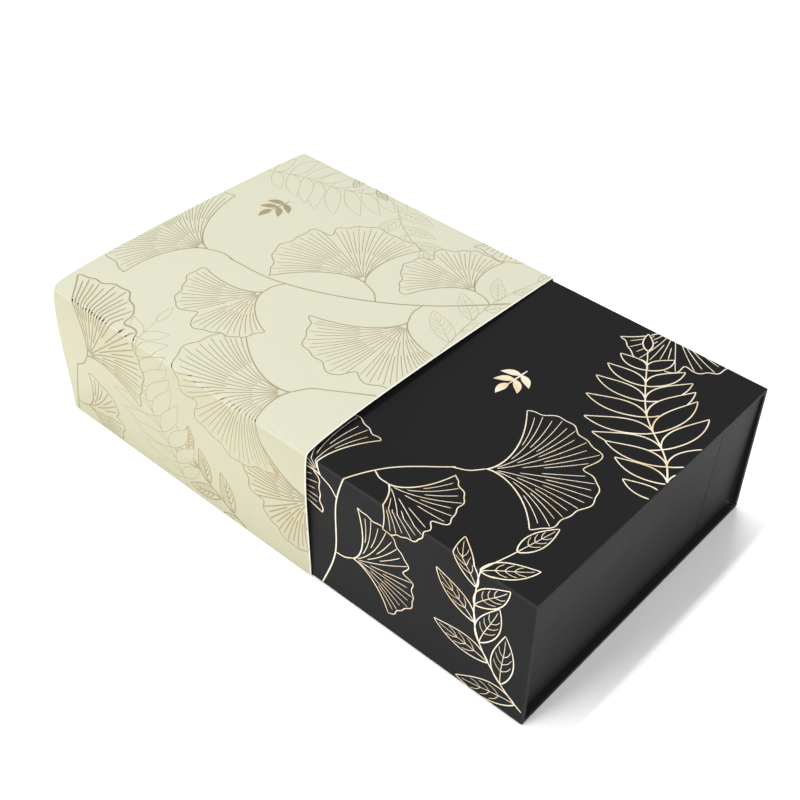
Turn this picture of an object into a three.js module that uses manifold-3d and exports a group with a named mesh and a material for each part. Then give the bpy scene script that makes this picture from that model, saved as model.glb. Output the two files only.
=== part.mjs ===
// A square book-style rigid gift box that stands part way out of its card slip sleeve.
//
// Millimetres, +Z up. +X is the way the box comes out of the sleeve, -Y is the spine side and +Y is
// the side of the magnetic flap. The origin is under the middle of the whole, on the surface it stands on.
//
// The box is a cover of four bevelled boards inside one folded sheet of paper, round a glued-in tray of
// five boards with taped corners. The sleeve is one folded card whose wide panels have bowed outwards.

import * as THREE from 'three';
import { mergeVertices } from 'three/addons/utils/BufferGeometryUtils.js';
import Module from 'manifold-3d';

const wasm = await Module();
wasm.setup();

// The closed box, and how far it stands out of its sleeve
const boxLength = 235;
const boxWidth = 235;
const boxHeight = 103.5;
const exposedLength = 165.5;

// Papers and glue that all the wrapped boards share
const paper = 0.2;
const glueFilm = 0.05;

// Cover: base, spine, lid and flap
const coverBoard = 2.5;
const coverTurnIn = 16;
const foldRadius = 0.8;
const hingeGap = 0.3;
const flapGap = 1.2;
const linerMargin = 3;
const mitreSlit = 0.3;

// Tray: its end walls lean out a little from foot to rim
const trayBoard = 2;
const trayFootRecess = 4.7;
const trayRimRecess = 1.2;
const trayFlapGap = 0.6;
const trayLidGap = 0.5;
const trayTurnIn = 15;
const floorMargin = 0.4;
const stayPaper = 0.15;
const stayReach = 15;
const lapReach = 15;
const lapFromFlap = 36;

// Magnets in the flap and steel discs in the tray's front wall
const discDiameter = 12;
const discThickness = 1.5;
const discPlay = 0.3;
const discSpacing = 130;
const discRise = 18;

// Slip sleeve
const sleeveCard = 0.4;
const sleeveLength = 236;
const sleeveSeatGap = 0.3;
const sleeveSideGap = 0.8;
const sleeveTopGap = 1;
const sleeveFoldRadius = 0.9;
const sleeveGlueFlap = 15;
const sleeveFlapStep = 0.5;

// The bows of its panels, at the empty mouth and at the mouth that holds the box. Each is a sine
// whose peak stands off the panel's middle. Its power makes it fuller the further it is below 1.
const topBowAtMouth = 5.9;
const topBowAtBox = 4.9;
const topPeakAtMouthShare = 0.35;
const topPeakAtBoxShare = 0.29;
const topPowerAtMouth = 0.47;
const topPowerAtBox = 0.95;
const sideBowAtMouth = 2.4;
const sideBowAtBox = 1.8;
const sidePeakShare = 0.71;
const sidePower = 0.6;

// Counts of the facets
const foldSteps = 4;
const edgeSteps = 3;
const discSteps = 36;
const sleeveStations = 20;
const topSteps = 30;
const sideSteps = 10;

// One overrun for every cut
const overrun = 1;

// Sizes that follow
const halfLength = boxLength / 2;
const halfWidth = boxWidth / 2;
const panel = coverBoard + 2 * (paper + glueFilm);
const edgeRadius = paper + 2 * glueFilm;
const endRounding = paper + glueFilm;
const linedPanel = panel + glueFilm + paper;
const flapFoot = panel + flapGap;
const trayFoot = panel + glueFilm;
const trayRim = boxHeight - linedPanel - trayLidGap;
const trayBack = linedPanel + glueFilm - halfWidth;
const trayFront = halfWidth - linedPanel - trayFlapGap;
const trayInset = paper + glueFilm + stayPaper + glueFilm;
const trayLining = trayInset + trayBoard + glueFilm;
const trayInside = trayLining + paper;
const boardFoot = trayFoot + paper + glueFilm;
const boardRim = trayRim - paper - glueFilm;
const floorTop = boardFoot + trayBoard;
const totalLength = exposedLength + sleeveLength;
const boxLift = sleeveCard + sleeveSeatGap;

const greyboard = { color: 0x8d877d, roughness: 0.95, metalness: 0 };
const blackPaper = { color: 0x1c1c1e, roughness: 0.62, metalness: 0 };
const blackLiner = { color: 0x18181a, roughness: 0.7, metalness: 0 };
const stayTape = { color: 0xb9a179, roughness: 0.9, metalness: 0 };
const platedMagnet = { color: 0xb9bbc0, roughness: 0.28, metalness: 1 };
const keeperSteel = { color: 0x9c9ea3, roughness: 0.36, metalness: 1 };
const ivoryCard = { color: 0xe8e7cf, roughness: 0.72, metalness: 0 };

function solidFrom(geometry) {
  geometry.deleteAttribute('normal');
  geometry.deleteAttribute('uv');
  const merged = mergeVertices(geometry);
  const vertProperties = new Float32Array(merged.attributes.position.array);
  const triVerts = new Uint32Array(merged.index.array);
  return new wasm.Manifold(new wasm.Mesh({ numProp: 3, vertProperties, triVerts }));
}

function geometryFrom(solid) {
  const { numProp, vertProperties, triVerts } = solid.getMesh();
  const places = new Float32Array((vertProperties.length / numProp) * 3);
  for (let i = 0; i < places.length / 3; i += 1) {
    for (let k = 0; k < 3; k += 1) {
      places[3 * i + k] = vertProperties[numProp * i + k];
    }
  }
  const geometry = new THREE.BufferGeometry();
  geometry.setAttribute('position', new THREE.BufferAttribute(places, 3));
  geometry.setIndex(new THREE.BufferAttribute(new Uint32Array(triVerts), 1));
  return geometry;
}

function named(name, solid, finish) {
  const geometry = geometryFrom(solid);
  geometry.computeVertexNormals();
  const mesh = new THREE.Mesh(geometry, new THREE.MeshStandardMaterial(finish));
  mesh.name = name;
  return mesh;
}

function block(low, high) {
  const geometry = new THREE.BoxGeometry(high[0] - low[0], high[1] - low[1], high[2] - low[2]);
  geometry.translate((low[0] + high[0]) / 2, (low[1] + high[1]) / 2, (low[2] + high[2]) / 2);
  return solidFrom(geometry);
}

// A profile drawn in Y and Z runs along X, centred on the box, with its end edges rounded if asked
function alongBox(shape, length, rounding = 0) {
  const geometry = new THREE.ExtrudeGeometry(shape, {
    depth: length - 2 * rounding,
    bevelEnabled: rounding > 0,
    bevelThickness: rounding,
    bevelSize: rounding,
    bevelOffset: -rounding,
    bevelSegments: edgeSteps,
    curveSegments: foldSteps,
  });
  geometry.translate(0, 0, rounding - length / 2);
  const turn = new THREE.Matrix4().makeBasis(
    new THREE.Vector3(0, 1, 0),
    new THREE.Vector3(0, 0, 1),
    new THREE.Vector3(1, 0, 0),
  );
  geometry.applyMatrix4(turn);
  return solidFrom(geometry);
}

function polygon(points) {
  return new THREE.Shape(points.map(([y, z]) => new THREE.Vector2(y, z)));
}

// A disc with its flat faces towards the spine and the flap
function discAcross(x, z, yLow, yHigh, diameter) {
  const geometry = new THREE.CylinderGeometry(diameter / 2, diameter / 2, yHigh - yLow, discSteps);
  geometry.translate(x, (yLow + yHigh) / 2, z);
  return solidFrom(geometry);
}

// Cover boards. Where two of them meet they are bevelled at 45 degrees, with a blunt nose inside the fold.
const boardInset = paper + glueFilm;
const bevelGap = hingeGap / Math.SQRT2;
const boardBack = boardInset + coverBoard;

function bevelledEnd(edge, outer, inwards, up) {
  // Points from the outer face to the inner face, as distances along the panel and into it
  return [
    [edge + inwards * foldRadius, outer],
    [edge + inwards * foldRadius, outer + up * (foldRadius - bevelGap - boardInset)],
    [edge + inwards * (boardBack + bevelGap), outer + up * coverBoard],
  ];
}

function baseBoard() {
  const spineEnd = bevelledEnd(-halfWidth, boardInset, 1, 1);
  const farEdge = halfWidth - boardInset;
  const points = [...spineEnd, [farEdge, boardBack], [farEdge, boardInset]];
  return alongBox(polygon(points), boxLength - 2 * boardInset);
}

function lidBoard() {
  const outer = boxHeight - boardInset;
  const spineEnd = bevelledEnd(-halfWidth, outer, 1, -1);
  const flapEnd = bevelledEnd(halfWidth, outer, -1, -1).reverse();
  return alongBox(polygon([...spineEnd, ...flapEnd]), boxLength - 2 * boardInset);
}

function swapped(points) {
  return points.map(([along, into]) => [into, along]);
}

function spineBoard() {
  const outer = boardInset - halfWidth;
  const baseEnd = swapped(bevelledEnd(0, outer, 1, 1));
  const lidEnd = swapped(bevelledEnd(boxHeight, outer, -1, 1)).reverse();
  return alongBox(polygon([...baseEnd, ...lidEnd]), boxLength - 2 * boardInset);
}

function flapBoard() {
  const outer = halfWidth - boardInset;
  const lidEnd = swapped(bevelledEnd(boxHeight, outer, -1, -1));
  const foot = flapFoot + boardInset;
  const points = [...lidEnd, [outer - coverBoard, foot], [outer, foot]];
  let board = alongBox(polygon(points), boxLength - 2 * boardInset);
  const inner = halfWidth - boardBack;
  for (const x of discPlaces()) {
    const pocketFloor = inner + discThickness + glueFilm;
    board = board.subtract(
      discAcross(x, discHeight(), inner - overrun, pocketFloor, discDiameter + 2 * discPlay),
    );
  }
  return board;
}

function discPlaces() {
  return [-discSpacing / 2, discSpacing / 2];
}

function discHeight() {
  return flapFoot + discRise;
}

function flapMagnet(x) {
  const inner = halfWidth - boardBack;
  return discAcross(x, discHeight(), inner, inner + discThickness, discDiameter);
}

// The cover's section at one depth inside its skin: base, spine, lid and flap as one open ring.
// The paper bends round the folds and, more tightly, round the two free edges.
function coverSection(depth) {
  const radius = foldRadius - depth;
  const bend = edgeRadius - depth;
  const near = depth - halfWidth;
  const far = halfWidth - depth;
  const top = boxHeight - depth;
  const innerNear = panel - depth - halfWidth;
  const innerFar = halfWidth - panel + depth;
  const shape = new THREE.Shape();
  shape.moveTo(far - bend, depth);
  shape.lineTo(near + radius, depth);
  shape.absarc(near + radius, depth + radius, radius, -Math.PI / 2, -Math.PI, true);
  shape.lineTo(near, top - radius);
  shape.absarc(near + radius, top - radius, radius, Math.PI, Math.PI / 2, true);
  shape.lineTo(far - radius, top);
  shape.absarc(far - radius, top - radius, radius, Math.PI / 2, 0, true);
  shape.lineTo(far, flapFoot + depth + bend);
  shape.absarc(far - bend, flapFoot + depth + bend, bend, 0, -Math.PI / 2, true);
  shape.lineTo(innerFar + bend, flapFoot + depth);
  shape.absarc(innerFar + bend, flapFoot + depth + bend, bend, -Math.PI / 2, -Math.PI, true);
  shape.lineTo(innerFar, boxHeight - panel + depth);
  shape.lineTo(innerNear, boxHeight - panel + depth);
  shape.lineTo(innerNear, panel - depth);
  shape.lineTo(far - bend, panel - depth);
  shape.absarc(far - bend, panel - depth - bend, bend, Math.PI / 2, 0, true);
  shape.lineTo(far, depth + bend);
  shape.absarc(far - bend, depth + bend, bend, 0, -Math.PI / 2, true);
  return shape;
}

// What the turned-in edges leave bare on the inside of the cover
function coverWindow() {
  const middle = panel / 2;
  const betweenFlapAndBase = panel + flapGap / 2;
  const points = [
    [middle - halfWidth, middle],
    [halfWidth - coverTurnIn, middle],
    [halfWidth - coverTurnIn, betweenFlapAndBase],
    [halfWidth - panel - overrun, betweenFlapAndBase],
    [halfWidth - panel - overrun, flapFoot + coverTurnIn],
    [halfWidth - middle, flapFoot + coverTurnIn],
    [halfWidth - middle, boxHeight - middle],
    [middle - halfWidth, boxHeight - middle],
  ];
  return alongBox(polygon(points), boxLength - 2 * coverTurnIn);
}

// The slit where two turned-in edges meet on the diagonal of a corner
function mitreCut() {
  const run = (coverTurnIn - panel) * Math.SQRT2;
  return new THREE.BoxGeometry(run, mitreSlit, panel);
}

function baseMitre(side) {
  const middle = (coverTurnIn + panel) / 2;
  const geometry = mitreCut();
  geometry.rotateZ((side * Math.PI) / 4);
  geometry.translate(side * (halfLength - middle), halfWidth - middle, panel);
  return solidFrom(geometry);
}

function flapMitre(side) {
  const middle = (coverTurnIn + panel) / 2;
  const geometry = mitreCut();
  geometry.rotateX(Math.PI / 2);
  geometry.rotateY((side * Math.PI) / 4);
  geometry.translate(side * (halfLength - middle), halfWidth - panel, flapFoot + middle);
  return solidFrom(geometry);
}

function coverWrap() {
  let sheet = alongBox(coverSection(0), boxLength, endRounding);
  sheet = sheet.subtract(
    alongBox(coverSection(paper), boxLength - 2 * paper, endRounding - paper),
  );
  sheet = sheet.subtract(coverWindow());
  for (const side of [-1, 1]) {
    sheet = sheet.subtract(baseMitre(side));
    sheet = sheet.subtract(flapMitre(side));
  }
  return sheet;
}

// One lining sheet runs up the spine, under the lid and down the flap
function coverLiner() {
  const outerNear = panel + glueFilm - halfWidth;
  const outerFar = halfWidth - panel - glueFilm;
  const outerTop = boxHeight - panel - glueFilm;
  const points = [
    [outerNear, panel + glueFilm],
    [outerNear, outerTop],
    [outerFar, outerTop],
    [outerFar, flapFoot + linerMargin],
    [outerFar - paper, flapFoot + linerMargin],
    [outerFar - paper, outerTop - paper],
    [outerNear + paper, outerTop - paper],
    [outerNear + paper, panel + glueFilm],
  ];
  return alongBox(polygon(points), boxLength - 2 * linerMargin);
}

// Half the tray's length at a height, that far inside its outer paper
function trayHalfLength(z, inset) {
  const climb = (z - trayFoot) / (trayRim - trayFoot);
  return halfLength - trayFootRecess + (trayFootRecess - trayRimRecess) * climb - inset;
}

// A block between two heights whose ends follow the lean of the tray's end walls.
// A unit box is stretched to it, so its corners stand at plus and minus one half.
function leaningBlock(insetEnds, yLow, yHigh, zLow, zHigh) {
  const geometry = new THREE.BoxGeometry(1, 1, 1);
  const places = geometry.attributes.position;
  for (let i = 0; i < places.count; i += 1) {
    const z = places.getZ(i) > 0 ? zHigh : zLow;
    const y = places.getY(i) > 0 ? yHigh : yLow;
    places.setXYZ(i, Math.sign(places.getX(i)) * trayHalfLength(z, insetEnds), y, z);
  }
  return solidFrom(geometry);
}

function trayBlock(inset, zLow, zHigh) {
  return leaningBlock(inset, trayBack + inset, trayFront - inset, zLow, zHigh);
}

function trayBaseBoard() {
  return trayBlock(trayInset + trayBoard + glueFilm, boardFoot, floorTop);
}

function traySideBoard(yLow) {
  return leaningBlock(trayInset, yLow, yLow + trayBoard, boardFoot, boardRim);
}

function trayFrontBoard() {
  const outer = trayFront - trayInset;
  let board = traySideBoard(outer - trayBoard);
  for (const x of discPlaces()) {
    const pocketFloor = outer - discThickness - glueFilm;
    board = board.subtract(
      discAcross(x, discHeight(), pocketFloor, outer + overrun, discDiameter + 2 * discPlay),
    );
  }
  return board;
}

function trayDisc(x) {
  const outer = trayFront - trayInset;
  return discAcross(x, discHeight(), outer - discThickness, outer, discDiameter);
}

// The end boards stand between the front and the back board
function trayEndBoard(side) {
  const gap = trayInset + trayBoard + glueFilm;
  const yLow = trayBack + gap;
  const yHigh = trayFront - gap;
  const outer = leaningBlock(trayInset, yLow, yHigh, boardFoot, boardRim);
  const inner = leaningBlock(
    trayInset + trayBoard,
    yLow - overrun,
    yHigh + overrun,
    boardFoot - overrun,
    boardRim + overrun,
  );
  return outer.subtract(inner).intersect(halfSpace(side));
}

function halfSpace(side) {
  const low = Math.min(0, side * boxLength);
  const high = Math.max(0, side * boxLength);
  return block([low, -boxWidth, -overrun], [high, boxWidth, boxHeight]);
}

// Paper tape bent round one upright corner of the tray's boards
function cornerStay(sideX, sideY) {
  const inset = paper + glueFilm;
  const outside = trayBlock(inset, boardFoot, boardRim);
  const inside = trayBlock(inset + stayPaper, boardFoot - overrun, boardRim + overrun);
  const corner = sideY < 0 ? trayBack : trayFront;
  const yLow = sideY < 0 ? corner - overrun : corner - stayReach;
  const yHigh = sideY < 0 ? corner + stayReach : corner + overrun;
  const reach = trayHalfLength(trayFoot, stayReach);
  const xLow = sideX < 0 ? -halfLength : reach;
  const xHigh = sideX < 0 ? -reach : halfLength;
  return outside.subtract(inside).intersect(block([xLow, yLow, 0], [xHigh, yHigh, boxHeight]));
}

// The lap of the tray's paper on the end wall that shows: a sheet's edge standing over the sheet below
function wrapLap() {
  const edge = halfWidth - lapFromFlap;
  const geometry = new THREE.BoxGeometry(1, 1, 1);
  const places = geometry.attributes.position;
  for (let i = 0; i < places.count; i += 1) {
    const z = places.getZ(i) > 0 ? trayRim - paper : trayFoot + paper;
    const atEdge = places.getY(i) > 0;
    const outside = places.getX(i) > 0;
    const stand = outside && atEdge ? -paper : paper / 2;
    places.setXYZ(i, trayHalfLength(z, stand), atEdge ? edge : edge - lapReach, z);
  }
  return solidFrom(geometry);
}

// Outside, over the rim and down the inside to the floor, with its lower edge turned under the base
function trayWrap() {
  let sheet = trayBlock(0, trayFoot, trayRim);
  sheet = sheet.subtract(trayBlock(paper, trayFoot + paper, trayRim - paper));
  sheet = sheet.add(trayBlock(trayLining, floorTop + glueFilm, trayRim - paper / 2));
  sheet = sheet.subtract(trayBlock(trayInside, floorTop - glueFilm, trayRim + overrun));
  sheet = sheet.subtract(trayBlock(trayTurnIn, trayFoot - overrun, trayFoot + paper + glueFilm));
  return sheet.add(wrapLap());
}

function trayLiner() {
  const low = floorTop + glueFilm;
  return trayBlock(trayInside + floorMargin, low, low + paper);
}

function between(atMouth, atBox, along) {
  return atMouth + (atBox - atMouth) * along;
}

// A sine from 0 to 1 and back, whose peak is at a share of the way
function bow(share, peakShare, power) {
  const skew = Math.log(1 / 2) / Math.log(peakShare);
  return Math.sin(Math.PI * share ** skew) ** power;
}

// How far the sleeve's top panel stands up, by the share along the sleeve and the share across it
function topBow(along, across) {
  const peakShare = between(topPeakAtMouthShare, topPeakAtBoxShare, along);
  const power = between(topPowerAtMouth, topPowerAtBox, along);
  return between(topBowAtMouth, topBowAtBox, along) * bow(across, peakShare, power);
}

function sideBow(along, up) {
  return between(sideBowAtMouth, sideBowAtBox, along) * bow(up, sidePeakShare, sidePower);
}

// One closed line round the card's section. Depth is 0 on the printed face and the card's
// thickness on the inside, where the glue flap lies against the lower part of the far panel.
function sleeveLine(along, inside) {
  const depth = inside ? sleeveCard : 0;
  const wide = halfWidth + sleeveSideGap + sleeveCard;
  const tall = boxLift + boxHeight + sleeveTopGap + sleeveCard;
  const radius = sleeveFoldRadius - depth;
  const centre = sleeveFoldRadius;
  const flapTop = centre + sleeveGlueFlap;
  const line = [];
  const corner = (y, z, from) => {
    for (let i = 0; i <= foldSteps; i += 1) {
      const angle = from - (Math.PI / 2) * (i / foldSteps);
      line.push([y + radius * Math.cos(angle), z + radius * Math.sin(angle)]);
    }
  };
  const upright = (y, side, up, depthHere) => {
    const z = centre + (tall - 2 * centre) * up;
    line.push([y + side * (sideBow(along, up) - depthHere), z]);
  };
  corner(centre - wide, centre, -Math.PI / 2);
  for (let i = 1; i < sideSteps; i += 1) {
    upright(-wide, -1, i / sideSteps, depth);
  }
  corner(centre - wide, tall - centre, Math.PI);
  for (let i = 1; i < topSteps; i += 1) {
    const across = (1 - Math.cos((Math.PI * i) / topSteps)) / 2;
    line.push([(2 * across - 1) * (wide - centre), tall - depth + topBow(along, across)]);
  }
  corner(wide - centre, tall - centre, Math.PI / 2);
  const flapShare = (flapTop - centre) / (tall - 2 * centre);
  const stepShare = sleeveFlapStep / (tall - 2 * centre);
  for (let i = sideSteps - 1; i > 0; i -= 1) {
    if (i / sideSteps > flapShare + stepShare) {
      upright(wide, 1, i / sideSteps, depth);
    }
  }
  upright(wide, 1, flapShare + stepShare, depth);
  upright(wide, 1, flapShare, 2 * depth);
  upright(wide, 1, stepShare, 2 * depth);
  corner(wide - centre, centre, 0);
  return line;
}

// The folded card is lofted through stations from its empty mouth to the end that holds the box
function sleeve() {
  const places = [];
  const faces = [];
  const left = -totalLength / 2;
  let count = 0;
  for (let s = 0; s <= sleeveStations; s += 1) {
    const along = s / sleeveStations;
    for (const inside of [false, true]) {
      const line = sleeveLine(along, inside);
      count = line.length;
      for (const [y, z] of line) {
        places.push(left + sleeveLength * along, y, z);
      }
    }
  }
  const at = (station, inside, k) => (2 * station + (inside ? 1 : 0)) * count + (k % count);
  const quad = (a, b, c, d) => faces.push(a, b, c, a, c, d);
  for (let k = 0; k < count; k += 1) {
    for (let s = 0; s < sleeveStations; s += 1) {
      quad(at(s, false, k), at(s + 1, false, k), at(s + 1, false, k + 1), at(s, false, k + 1));
      quad(at(s, true, k), at(s, true, k + 1), at(s + 1, true, k + 1), at(s + 1, true, k));
    }
    const end = sleeveStations;
    quad(at(0, false, k), at(0, false, k + 1), at(0, true, k + 1), at(0, true, k));
    quad(at(end, false, k), at(end, true, k), at(end, true, k + 1), at(end, false, k + 1));
  }
  const geometry = new THREE.BufferGeometry();
  geometry.setAttribute('position', new THREE.BufferAttribute(new Float32Array(places), 3));
  geometry.setIndex(faces);
  return solidFrom(geometry);
}

const box = new THREE.Group();
box.position.set(totalLength / 2 - halfLength, 0, boxLift);

box.add(named('base_board', baseBoard(), greyboard));
box.add(named('spine_board', spineBoard(), greyboard));
box.add(named('lid_board', lidBoard(), greyboard));
box.add(named('flap_board', flapBoard(), greyboard));
box.add(named('cover_wrap', coverWrap(), blackPaper));
box.add(named('cover_liner', coverLiner(), blackLiner));

box.add(named('tray_base_board', trayBaseBoard(), greyboard));
box.add(named('tray_back_board', traySideBoard(trayBack + trayInset), greyboard));
box.add(named('tray_front_board', trayFrontBoard(), greyboard));
box.add(named('tray_wrap', trayWrap(), blackPaper));
box.add(named('tray_liner', trayLiner(), blackLiner));

for (const [end, side] of [['left', -1], ['right', 1]]) {
  const x = (side * discSpacing) / 2;
  box.add(named(`tray_${end}_board`, trayEndBoard(side), greyboard));
  box.add(named(`corner_stay_back_${end}`, cornerStay(side, -1), stayTape));
  box.add(named(`corner_stay_front_${end}`, cornerStay(side, 1), stayTape));
  box.add(named(`flap_magnet_${end}`, flapMagnet(x), platedMagnet));
  box.add(named(`tray_disc_${end}`, trayDisc(x), keeperSteel));
}

const part = new THREE.Group();
part.add(box);
part.add(named('sleeve', sleeve(), ivoryCard));

export default part;
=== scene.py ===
"""Dresses a square gift box that stands part way out of its slip sleeve.

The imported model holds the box, its boards and its wraps. This script gives them their papers, folds a finer
sleeve from one flat card, stamps the foil lines on the cover and prints the lines on the sleeve.
Lengths are in metres. The line art alone is drawn in millimetres, on the flat sheets.
"""

import math
from collections import namedtuple
from functools import partial

import bpy
import numpy as np
from bpy.props import FloatProperty, FloatVectorProperty, PointerProperty
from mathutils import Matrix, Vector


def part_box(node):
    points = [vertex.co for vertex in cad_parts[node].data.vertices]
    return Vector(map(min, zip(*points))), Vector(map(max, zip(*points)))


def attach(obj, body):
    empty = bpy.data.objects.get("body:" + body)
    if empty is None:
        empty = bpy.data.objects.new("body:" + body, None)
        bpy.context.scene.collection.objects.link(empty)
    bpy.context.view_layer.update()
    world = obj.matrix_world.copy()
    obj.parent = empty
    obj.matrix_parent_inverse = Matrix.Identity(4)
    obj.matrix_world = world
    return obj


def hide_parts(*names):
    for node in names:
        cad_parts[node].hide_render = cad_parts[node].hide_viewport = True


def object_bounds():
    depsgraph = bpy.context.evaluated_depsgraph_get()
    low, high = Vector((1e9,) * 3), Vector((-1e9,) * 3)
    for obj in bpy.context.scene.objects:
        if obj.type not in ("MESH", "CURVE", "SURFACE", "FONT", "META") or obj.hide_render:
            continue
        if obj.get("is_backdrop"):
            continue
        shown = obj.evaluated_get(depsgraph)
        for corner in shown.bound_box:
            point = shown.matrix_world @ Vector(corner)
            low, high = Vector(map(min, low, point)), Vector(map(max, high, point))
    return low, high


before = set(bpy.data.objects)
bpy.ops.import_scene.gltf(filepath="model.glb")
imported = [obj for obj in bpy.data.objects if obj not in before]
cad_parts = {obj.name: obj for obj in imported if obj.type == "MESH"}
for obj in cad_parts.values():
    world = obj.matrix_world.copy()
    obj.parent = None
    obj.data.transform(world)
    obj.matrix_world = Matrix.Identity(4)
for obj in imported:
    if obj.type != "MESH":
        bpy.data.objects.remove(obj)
CAD_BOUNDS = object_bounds()

bl_info = {
    "name": "Gift Box in a Slip Sleeve",
    "version": (1, 0, 0),
    "blender": (4, 5, 0),
    "location": "View3D > Sidebar > Gift Box",
    "description": "Papers, foil lines, printed sleeve and studio for a square gift box",
    "category": "Object",
}

MM = 0.001

# The box's outer corners at rest
BOX_LOW, BOX_HIGH = (np.array(corner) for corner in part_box("cover_wrap"))
SLEEVE_LOW, SLEEVE_HIGH = (np.array(corner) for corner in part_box("sleeve"))


def paint(code):
    """Turns an sRGB hex colour into the linear values that shaders take."""
    parts = [int(code[i : i + 2], 16) / 255 for i in (1, 3, 5)]
    return tuple(c / 12.92 if c <= 0.04045 else ((c + 0.055) / 1.055) ** 2.4 for c in parts)


def amount(name, description, default, **kind):
    return FloatProperty(name=name, description=description, default=default, **kind)


def size(name, description, default):
    """A length in metres."""
    return amount(name, description, default, subtype="DISTANCE", unit="LENGTH", precision=5)


def several(name, description, default, **kind):
    """Two or three amounts."""
    return FloatVectorProperty(name=name, description=description, default=default, **kind)


def point(name, description, default):
    """A point in metres."""
    return several(name, description, default, subtype="TRANSLATION", unit="LENGTH")


def ends(name, description, default, **kind):
    """Two values for the sleeve: one at its empty mouth and one at the mouth that holds the box."""
    description += ", at the empty mouth and at the box"
    return several(name, description, default, size=2, precision=5, **kind)


def colour(name, description, code):
    """A colour, given as sRGB hex."""
    return several(name, description, paint(code), subtype="COLOR", size=3, min=0, max=1)


class GiftBoxCover(bpy.types.PropertyGroup):
    """Sizes and colours of the box's cover and its foil lines."""

    fold_radius: size("Fold radius", "Outer radius of the folds between spine, lid and flap", 0.8 * MM)
    flap_foot: size("Flap foot", "Height of the flap's lower edge above the box's bottom", 4.2 * MM)
    edge_rounding: size("Edge rounding", "Radius of the paper where it turns in at the ends", 0.25 * MM)
    tray_lap: size("Tray lap", "Distance of the shade at the tray paper's lap from the flap's face", 47 * MM)
    main_line: size("Main line", "Width of the outlines and stems in foil", 1.0 * MM)
    fine_line: size("Fine line", "Width of the veins in foil", 0.62 * MM)
    foil_lift: size("Foil lift", "How far the foil's face stands above the paper", 0.03 * MM)
    paper_colour: colour("Paper", "The black soft-touch paper", "#1F1F20")
    # The paler paper where edges are worn; also the colour of the painted highlights along the folds and,
    # brightened, of the painted glints at the corners
    rubbed_and_highlit_colour: colour("Rubbed paper", "The paper where folds and edges are rubbed", "#3C3B3B")
    foil_colour: colour("Foil", "The champagne foil", "#FBEFD6")


class GiftBoxSleeve(bpy.types.PropertyGroup):
    """Sizes and colours of the slip sleeve and its print."""

    card: size("Card", "Thickness of the folding card", 0.4 * MM)
    fold_radius: size("Fold radius", "Outer radius of the folds", 0.9 * MM)
    side_gap: size("Side gap", "Room between the box and the side panels", 0.8 * MM)
    top_gap: size("Top gap", "Room between the box and the top panel", 1 * MM)
    glue_flap: size("Glue flap", "Height of the flap glued inside the far panel", 15 * MM)
    flap_step: size("Flap step", "Length over which the glue flap's edge fades", 0.5 * MM)
    top_bow: ends("Top bow", "Rise of the top panel", (5.87 * MM, 4.9 * MM), unit="LENGTH")
    top_peak: ends("Top peak", "Where the top bow peaks, as a share across", (0.35, 0.29))
    top_power: ends("Top power", "Power of the top bow's sine, fuller below 1", (0.47, 0.95))
    side_bow: ends("Side bow", "Bulge of the sides", (2.4 * MM, 1.8 * MM), unit="LENGTH")
    side_peak: ends("Side peak", "Where the side bow peaks, as a share up the side", (0.71, 0.71))
    side_power: ends("Side power", "Power of the side bow's sine, fuller below 1", (0.6, 0.6))
    main_line: size("Main line", "Width of the bronze outlines", 0.9 * MM)
    fine_line: size("Fine line", "Width of the bronze veins", 0.64 * MM)
    tonal_line: size("Tonal line", "Width of the pale tonal lines", 0.55 * MM)
    ink_lift: size("Ink lift", "How far the ink's face stands above the card", 0.02 * MM)
    # The rim is wider than the card is thick, so it is also a painted highlight of the cut edge
    bare_rim: size("Bare rim", "Width of the card's core that shows along the cut mouths", 0.7 * MM)
    card_colour: colour("Card", "The ivory face", "#D1D0BA")
    core_colour: colour("Core", "The card's white core", "#FBFAF4")
    inside_colour: colour("Inside", "The uncoated inside", "#E9E6DA")
    bronze_colour: colour("Bronze", "The bronze ink", "#A39C7C")
    bronze_warm: colour("Warm bronze", "The bronze ink where it is warmer", "#B29D76")
    tonal_colour: colour("Tonal", "The pale olive ink", "#ADAF90")
    tonal_warm: colour("Warm tonal", "The pale ink where it is warmer", "#B5AD8C")


class GiftBoxStage(bpy.types.PropertyGroup):
    """The studio: floor, lights and camera."""

    floor_size: size("Floor", "Length of the floor's sides", 8.0)
    floor_colour: colour("Floor", "The pale floor", "#F7F7F7")
    camera_place: point("Camera place", "Where the camera stands", (0.43053, -0.49725, 0.62703))
    camera_turn: several(
        "Camera turn", "The camera's rotation", [math.radians(a) for a in (48.744, -1.108, 41.664)],
        subtype="EULER", unit="ROTATION",
    )
    lens: amount("Lens", "Focal length in millimetres on a 36 mm sensor", 59.01)
    bright_wall: amount("Bright wall", "Light from the bright side of the studio", 1.2)
    dim_wall: amount("Dim wall", "Light from the far side of the studio", 0.375)
    softbox_place: point("Softbox place", "Where the long softbox hangs, level", (-0.195, -1.1, 1.52))
    softbox_width: size("Softbox width", "Width of the softbox, along X", 0.17)
    softbox_length: size("Softbox length", "Length of the softbox, along Y", 4.36)
    softbox_power: amount("Softbox power", "Power of the softbox in watts", 25.0)
    floor_power: amount("Floor power", "Power of the lamp for the floor in watts", 40.0)


# What the sleeve's side panels reflect, as shares of what its top does: painted shade, darker against the
# extra light that the bright floor throws on them, and creamier
SIDE_SHADE_AND_TINT = (0.832, 0.822, 0.735)
# The way to the bright studio wall, level and past the box's free end
BRIGHT_WALL = (0.98, -0.05, 0.0)


# Materials

# A metre along each axis, which puts a block's faces out of an edge pattern's reach
ALONG_X, ALONG_Y, ALONG_Z = np.eye(3)
# What makes a Map Range fall from 1 to 0, and the two colour sockets of a Mix
FADE = {"To Min": 1.0, "To Max": 0.0}
FIRST, SECOND = 6, 7


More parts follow.
